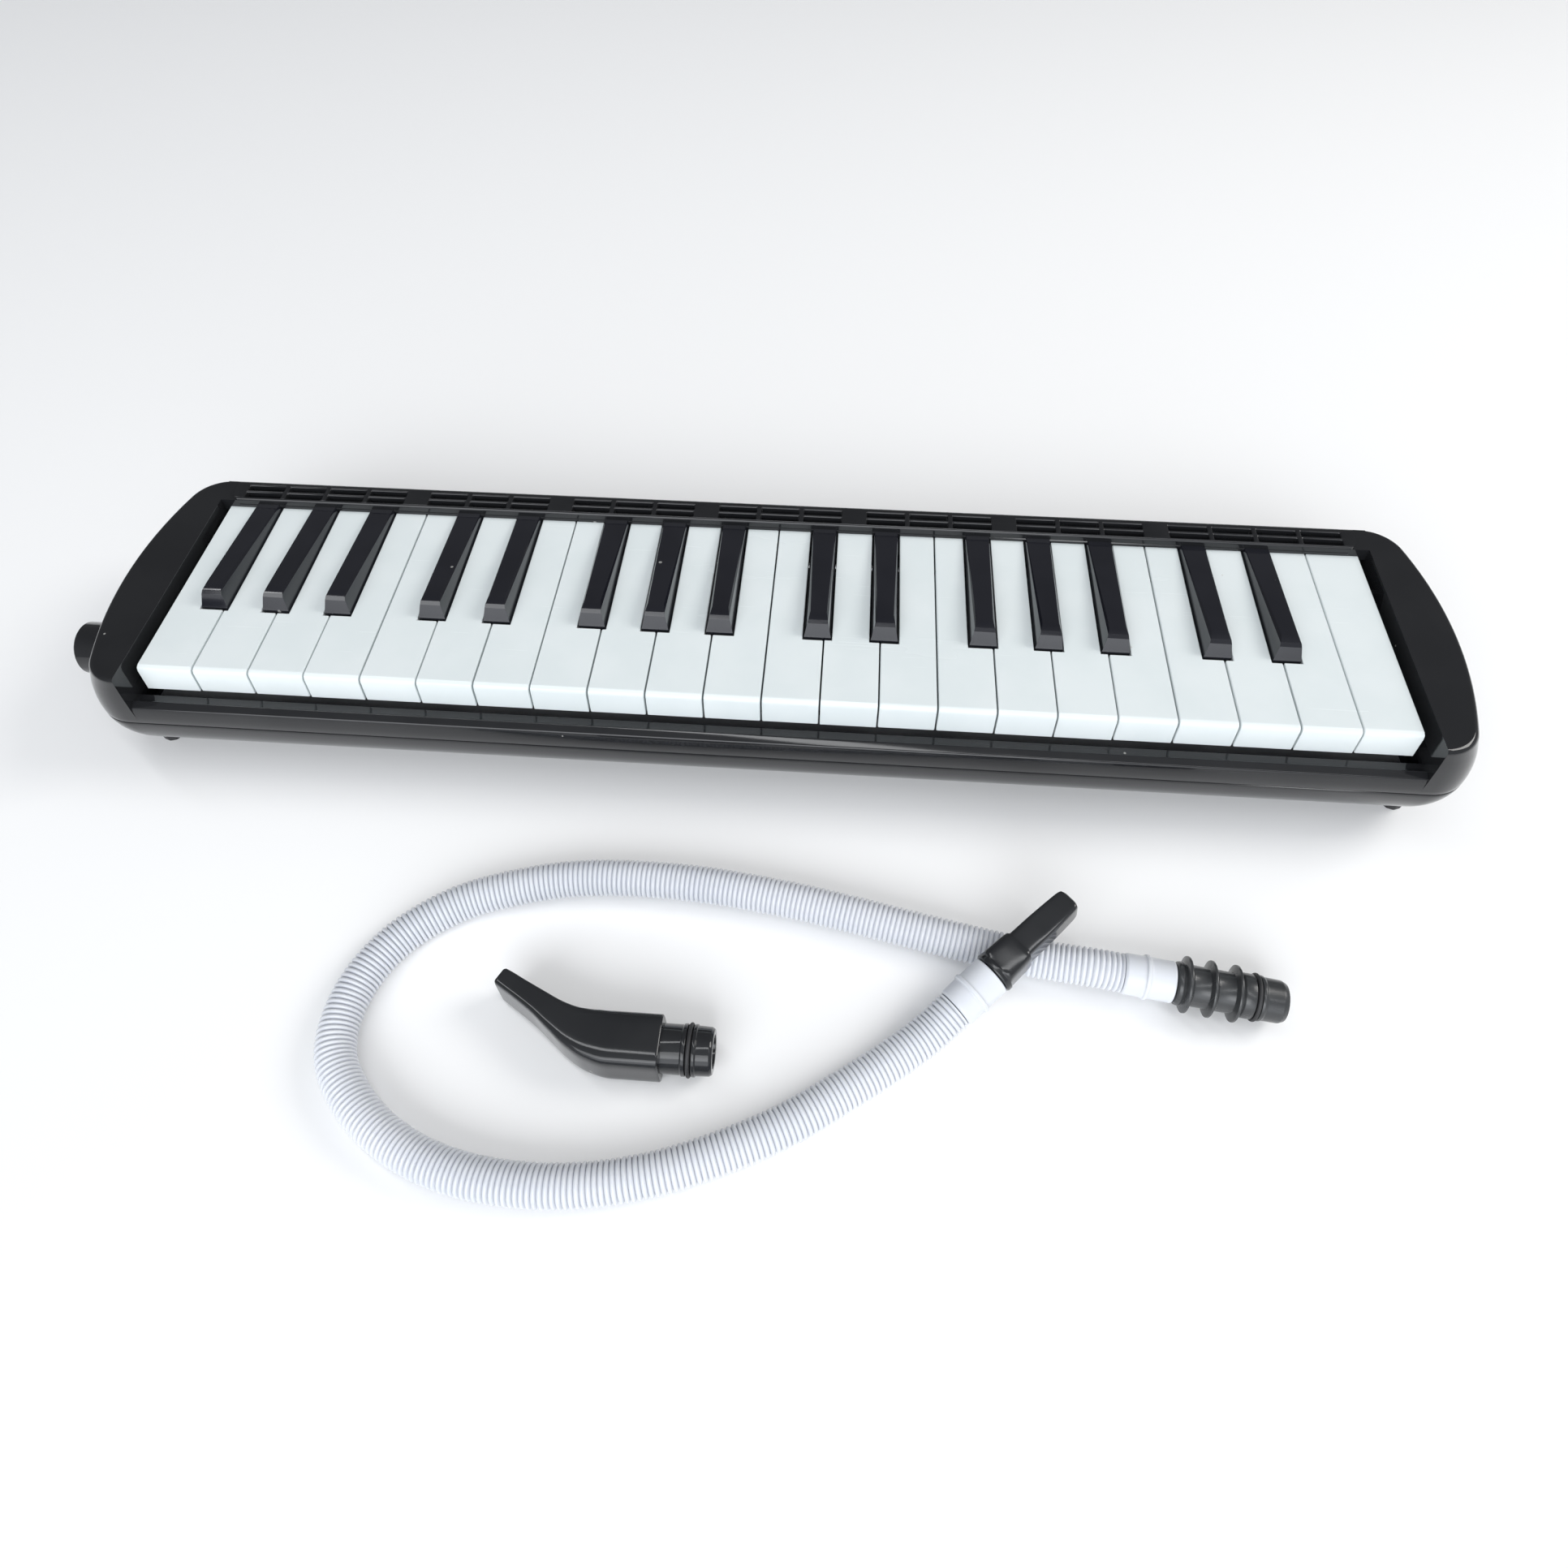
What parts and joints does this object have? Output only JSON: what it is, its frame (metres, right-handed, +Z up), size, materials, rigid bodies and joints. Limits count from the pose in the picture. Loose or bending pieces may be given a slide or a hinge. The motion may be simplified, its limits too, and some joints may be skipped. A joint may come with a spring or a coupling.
{
  "type": "melodica",
  "caption": "Keyed free-reed wind instrument: curved plastic case, pivoting piano keys, wind chest with reeds, end blow socket, corrugated playing hose and short mouthpiece.",
  "frame": {"origin": "on the standing surface, under the middle of the box round the instrument and its loose short mouthpiece; the middle of the keyboard is 3.75 mm to the right of it and the front edge of the white keys is 7.3 mm behind it", "axes": "+X up the keyboard from low notes to high notes, +Y from the player side to the rear sound rail, +Z up"},
  "size_m": [0.4474, 0.2274, 0.0468],
  "materials": {
    "case_black": "high-gloss moulded ABS",
    "key_white": "satin-gloss moulded ABS, cool white",
    "key_black": "high-gloss moulded ABS",
    "mouthpiece_black": "high-gloss moulded ABS",
    "inner_plastic": "satin moulded plastic",
    "reed_brass": "stamped brass sheet",
    "spring_steel": "drawn spring steel",
    "felt": "pressed grey felt",
    "rubber": "matt black rubber",
    "connector_grey": "satin dark grey moulded plastic",
    "hose_white": "soft semi-matt white polyethylene"
  },
  "bodies": {
    "case": {"lower_case": "case_black", "upper_case": "case_black", "foot_front_left": "rubber", "foot_front_right": "rubber", "foot_rear_left": "rubber", "foot_rear_right": "rubber", "wind_chest": "inner_plastic", "reed_plate": "reed_brass", "chest_cover": "inner_plastic", "key_rod": "spring_steel", "key_stop_felt": "felt", "key_spring_comb": "spring_steel", "blow_socket": "case_black", "inlet_sleeve": "rubber"},
    "white_key_F3": {"white_key_F3": "key_white"},
    "black_key_F3_sharp": {"black_key_F3_sharp": "key_black"},
    "white_key_G3": {"white_key_G3": "key_white"},
    "black_key_G3_sharp": {"black_key_G3_sharp": "key_black"},
    "white_key_A3": {"white_key_A3": "key_white"},
    "black_key_A3_sharp": {"black_key_A3_sharp": "key_black"},
    "white_key_B3": {"white_key_B3": "key_white"},
    "white_key_C4": {"white_key_C4": "key_white"},
    "black_key_C4_sharp": {"black_key_C4_sharp": "key_black"},
    "white_key_D4": {"white_key_D4": "key_white"},
    "black_key_D4_sharp": {"black_key_D4_sharp": "key_black"},
    "white_key_E4": {"white_key_E4": "key_white"},
    "white_key_F4": {"white_key_F4": "key_white"},
    "black_key_F4_sharp": {"black_key_F4_sharp": "key_black"},
    "white_key_G4": {"white_key_G4": "key_white"},
    "black_key_G4_sharp": {"black_key_G4_sharp": "key_black"},
    "white_key_A4": {"white_key_A4": "key_white"},
    "black_key_A4_sharp": {"black_key_A4_sharp": "key_black"},
    "white_key_B4": {"white_key_B4": "key_white"},
    "white_key_C5": {"white_key_C5": "key_white"},
    "black_key_C5_sharp": {"black_key_C5_sharp": "key_black"},
    "white_key_D5": {"white_key_D5": "key_white"},
    "black_key_D5_sharp": {"black_key_D5_sharp": "key_black"},
    "white_key_E5": {"white_key_E5": "key_white"},
    "white_key_F5": {"white_key_F5": "key_white"},
    "black_key_F5_sharp": {"black_key_F5_sharp": "key_black"},
    "white_key_G5": {"white_key_G5": "key_white"},
    "black_key_G5_sharp": {"black_key_G5_sharp": "key_black"},
    "white_key_A5": {"white_key_A5": "key_white"},
    "black_key_A5_sharp": {"black_key_A5_sharp": "key_black"},
    "white_key_B5": {"white_key_B5": "key_white"},
    "white_key_C6": {"white_key_C6": "key_white"},
    "black_key_C6_sharp": {"black_key_C6_sharp": "key_black"},
    "white_key_D6": {"white_key_D6": "key_white"},
    "black_key_D6_sharp": {"black_key_D6_sharp": "key_black"},
    "white_key_E6": {"white_key_E6": "key_white"},
    "white_key_F6": {"white_key_F6": "key_white"},
    "release_button": {"release_button": "case_black"},
    "hose": {"hose_tube": "hose_white", "hose_connector_cuff": "hose_white", "hose_mouthpiece_cuff": "hose_white", "hose_connector": "connector_grey", "connector_o_ring": "rubber", "hose_mouthpiece": "mouthpiece_black"},
    "short_mouthpiece": {"short_mouthpiece": "mouthpiece_black", "short_mouthpiece_o_ring": "rubber"}
  },
  "joints": [
    {"name": "press_F3", "type": "hinge", "parent": "case", "child": "white_key_F3", "pos_m": [0.00375, 0.07332, 0.0345], "axis": [1, 0, 0], "range_deg": [0, 4.3], "stiffness_Nm_per_rad": 0.3, "springref_deg": -4.58},
    {"name": "press_F3_sharp", "type": "hinge", "parent": "case", "child": "black_key_F3_sharp", "pos_m": [0.00375, 0.07332, 0.0345], "axis": [1, 0, 0], "range_deg": [0, 5.2], "stiffness_Nm_per_rad": 0.3, "springref_deg": -4.58},
    {"name": "press_G3", "type": "hinge", "parent": "case", "child": "white_key_G3", "pos_m": [0.00375, 0.07332, 0.0345], "axis": [1, 0, 0], "range_deg": [0, 4.3], "stiffness_Nm_per_rad": 0.3, "springref_deg": -4.58},
    {"name": "press_G3_sharp", "type": "hinge", "parent": "case", "child": "black_key_G3_sharp", "pos_m": [0.00375, 0.07332, 0.0345], "axis": [1, 0, 0], "range_deg": [0, 5.2], "stiffness_Nm_per_rad": 0.3, "springref_deg": -4.58},
    {"name": "press_A3", "type": "hinge", "parent": "case", "child": "white_key_A3", "pos_m": [0.00375, 0.07332, 0.0345], "axis": [1, 0, 0], "range_deg": [0, 4.3], "stiffness_Nm_per_rad": 0.3, "springref_deg": -4.58},
    {"name": "press_A3_sharp", "type": "hinge", "parent": "case", "child": "black_key_A3_sharp", "pos_m": [0.00375, 0.07332, 0.0345], "axis": [1, 0, 0], "range_deg": [0, 5.2], "stiffness_Nm_per_rad": 0.3, "springref_deg": -4.58},
    {"name": "press_B3", "type": "hinge", "parent": "case", "child": "white_key_B3", "pos_m": [0.00375, 0.07332, 0.0345], "axis": [1, 0, 0], "range_deg": [0, 4.3], "stiffness_Nm_per_rad": 0.3, "springref_deg": -4.58},
    {"name": "press_C4", "type": "hinge", "parent": "case", "child": "white_key_C4", "pos_m": [0.00375, 0.07332, 0.0345], "axis": [1, 0, 0], "range_deg": [0, 4.3], "stiffness_Nm_per_rad": 0.3, "springref_deg": -4.58},
    {"name": "press_C4_sharp", "type": "hinge", "parent": "case", "child": "black_key_C4_sharp", "pos_m": [0.00375, 0.07332, 0.0345], "axis": [1, 0, 0], "range_deg": [0, 5.2], "stiffness_Nm_per_rad": 0.3, "springref_deg": -4.58},
    {"name": "press_D4", "type": "hinge", "parent": "case", "child": "white_key_D4", "pos_m": [0.00375, 0.07332, 0.0345], "axis": [1, 0, 0], "range_deg": [0, 4.3], "stiffness_Nm_per_rad": 0.3, "springref_deg": -4.58},
    {"name": "press_D4_sharp", "type": "hinge", "parent": "case", "child": "black_key_D4_sharp", "pos_m": [0.00375, 0.07332, 0.0345], "axis": [1, 0, 0], "range_deg": [0, 5.2], "stiffness_Nm_per_rad": 0.3, "springref_deg": -4.58},
    {"name": "press_E4", "type": "hinge", "parent": "case", "child": "white_key_E4", "pos_m": [0.00375, 0.07332, 0.0345], "axis": [1, 0, 0], "range_deg": [0, 4.3], "stiffness_Nm_per_rad": 0.3, "springref_deg": -4.58},
    {"name": "press_F4", "type": "hinge", "parent": "case", "child": "white_key_F4", "pos_m": [0.00375, 0.07332, 0.0345], "axis": [1, 0, 0], "range_deg": [0, 4.3], "stiffness_Nm_per_rad": 0.3, "springref_deg": -4.58},
    {"name": "press_F4_sharp", "type": "hinge", "parent": "case", "child": "black_key_F4_sharp", "pos_m": [0.00375, 0.07332, 0.0345], "axis": [1, 0, 0], "range_deg": [0, 5.2], "stiffness_Nm_per_rad": 0.3, "springref_deg": -4.58},
    {"name": "press_G4", "type": "hinge", "parent": "case", "child": "white_key_G4", "pos_m": [0.00375, 0.07332, 0.0345], "axis": [1, 0, 0], "range_deg": [0, 4.3], "stiffness_Nm_per_rad": 0.3, "springref_deg": -4.58},
    {"name": "press_G4_sharp", "type": "hinge", "parent": "case", "child": "black_key_G4_sharp", "pos_m": [0.00375, 0.07332, 0.0345], "axis": [1, 0, 0], "range_deg": [0, 5.2], "stiffness_Nm_per_rad": 0.3, "springref_deg": -4.58},
    {"name": "press_A4", "type": "hinge", "parent": "case", "child": "white_key_A4", "pos_m": [0.00375, 0.07332, 0.0345], "axis": [1, 0, 0], "range_deg": [0, 4.3], "stiffness_Nm_per_rad": 0.3, "springref_deg": -4.58},
    {"name": "press_A4_sharp", "type": "hinge", "parent": "case", "child": "black_key_A4_sharp", "pos_m": [0.00375, 0.07332, 0.0345], "axis": [1, 0, 0], "range_deg": [0, 5.2], "stiffness_Nm_per_rad": 0.3, "springref_deg": -4.58},
    {"name": "press_B4", "type": "hinge", "parent": "case", "child": "white_key_B4", "pos_m": [0.00375, 0.07332, 0.0345], "axis": [1, 0, 0], "range_deg": [0, 4.3], "stiffness_Nm_per_rad": 0.3, "springref_deg": -4.58},
    {"name": "press_C5", "type": "hinge", "parent": "case", "child": "white_key_C5", "pos_m": [0.00375, 0.07332, 0.0345], "axis": [1, 0, 0], "range_deg": [0, 4.3], "stiffness_Nm_per_rad": 0.3, "springref_deg": -4.58},
    {"name": "press_C5_sharp", "type": "hinge", "parent": "case", "child": "black_key_C5_sharp", "pos_m": [0.00375, 0.07332, 0.0345], "axis": [1, 0, 0], "range_deg": [0, 5.2], "stiffness_Nm_per_rad": 0.3, "springref_deg": -4.58},
    {"name": "press_D5", "type": "hinge", "parent": "case", "child": "white_key_D5", "pos_m": [0.00375, 0.07332, 0.0345], "axis": [1, 0, 0], "range_deg": [0, 4.3], "stiffness_Nm_per_rad": 0.3, "springref_deg": -4.58},
    {"name": "press_D5_sharp", "type": "hinge", "parent": "case", "child": "black_key_D5_sharp", "pos_m": [0.00375, 0.07332, 0.0345], "axis": [1, 0, 0], "range_deg": [0, 5.2], "stiffness_Nm_per_rad": 0.3, "springref_deg": -4.58},
    {"name": "press_E5", "type": "hinge", "parent": "case", "child": "white_key_E5", "pos_m": [0.00375, 0.07332, 0.0345], "axis": [1, 0, 0], "range_deg": [0, 4.3], "stiffness_Nm_per_rad": 0.3, "springref_deg": -4.58},
    {"name": "press_F5", "type": "hinge", "parent": "case", "child": "white_key_F5", "pos_m": [0.00375, 0.07332, 0.0345], "axis": [1, 0, 0], "range_deg": [0, 4.3], "stiffness_Nm_per_rad": 0.3, "springref_deg": -4.58},
    {"name": "press_F5_sharp", "type": "hinge", "parent": "case", "child": "black_key_F5_sharp", "pos_m": [0.00375, 0.07332, 0.0345], "axis": [1, 0, 0], "range_deg": [0, 5.2], "stiffness_Nm_per_rad": 0.3, "springref_deg": -4.58},
    {"name": "press_G5", "type": "hinge", "parent": "case", "child": "white_key_G5", "pos_m": [0.00375, 0.07332, 0.0345], "axis": [1, 0, 0], "range_deg": [0, 4.3], "stiffness_Nm_per_rad": 0.3, "springref_deg": -4.58},
    {"name": "press_G5_sharp", "type": "hinge", "parent": "case", "child": "black_key_G5_sharp", "pos_m": [0.00375, 0.07332, 0.0345], "axis": [1, 0, 0], "range_deg": [0, 5.2], "stiffness_Nm_per_rad": 0.3, "springref_deg": -4.58},
    {"name": "press_A5", "type": "hinge", "parent": "case", "child": "white_key_A5", "pos_m": [0.00375, 0.07332, 0.0345], "axis": [1, 0, 0], "range_deg": [0, 4.3], "stiffness_Nm_per_rad": 0.3, "springref_deg": -4.58},
    {"name": "press_A5_sharp", "type": "hinge", "parent": "case", "child": "black_key_A5_sharp", "pos_m": [0.00375, 0.07332, 0.0345], "axis": [1, 0, 0], "range_deg": [0, 5.2], "stiffness_Nm_per_rad": 0.3, "springref_deg": -4.58},
    {"name": "press_B5", "type": "hinge", "parent": "case", "child": "white_key_B5", "pos_m": [0.00375, 0.07332, 0.0345], "axis": [1, 0, 0], "range_deg": [0, 4.3], "stiffness_Nm_per_rad": 0.3, "springref_deg": -4.58},
    {"name": "press_C6", "type": "hinge", "parent": "case", "child": "white_key_C6", "pos_m": [0.00375, 0.07332, 0.0345], "axis": [1, 0, 0], "range_deg": [0, 4.3], "stiffness_Nm_per_rad": 0.3, "springref_deg": -4.58},
    {"name": "press_C6_sharp", "type": "hinge", "parent": "case", "child": "black_key_C6_sharp", "pos_m": [0.00375, 0.07332, 0.0345], "axis": [1, 0, 0], "range_deg": [0, 5.2], "stiffness_Nm_per_rad": 0.3, "springref_deg": -4.58},
    {"name": "press_D6", "type": "hinge", "parent": "case", "child": "white_key_D6", "pos_m": [0.00375, 0.07332, 0.0345], "axis": [1, 0, 0], "range_deg": [0, 4.3], "stiffness_Nm_per_rad": 0.3, "springref_deg": -4.58},
    {"name": "press_D6_sharp", "type": "hinge", "parent": "case", "child": "black_key_D6_sharp", "pos_m": [0.00375, 0.07332, 0.0345], "axis": [1, 0, 0], "range_deg": [0, 5.2], "stiffness_Nm_per_rad": 0.3, "springref_deg": -4.58},
    {"name": "press_E6", "type": "hinge", "parent": "case", "child": "white_key_E6", "pos_m": [0.00375, 0.07332, 0.0345], "axis": [1, 0, 0], "range_deg": [0, 4.3], "stiffness_Nm_per_rad": 0.3, "springref_deg": -4.58},
    {"name": "press_F6", "type": "hinge", "parent": "case", "child": "white_key_F6", "pos_m": [0.00375, 0.07332, 0.0345], "axis": [1, 0, 0], "range_deg": [0, 4.3], "stiffness_Nm_per_rad": 0.3, "springref_deg": -4.58},
    {"name": "release_press", "type": "slide", "parent": "case", "child": "release_button", "axis": [-1, 0, 0], "range_m": [0, 0.0025], "stiffness_N_per_m": 300, "springref_m": -0.003},
    {"name": "hose_lift", "type": "slide", "parent": "case", "child": "hose", "axis": [0, 0, 1], "range_m": [0, 0.1]},
    {"name": "short_mouthpiece_lift", "type": "slide", "parent": "case", "child": "short_mouthpiece", "axis": [0, 0, 1], "range_m": [0, 0.1]}
  ]
}
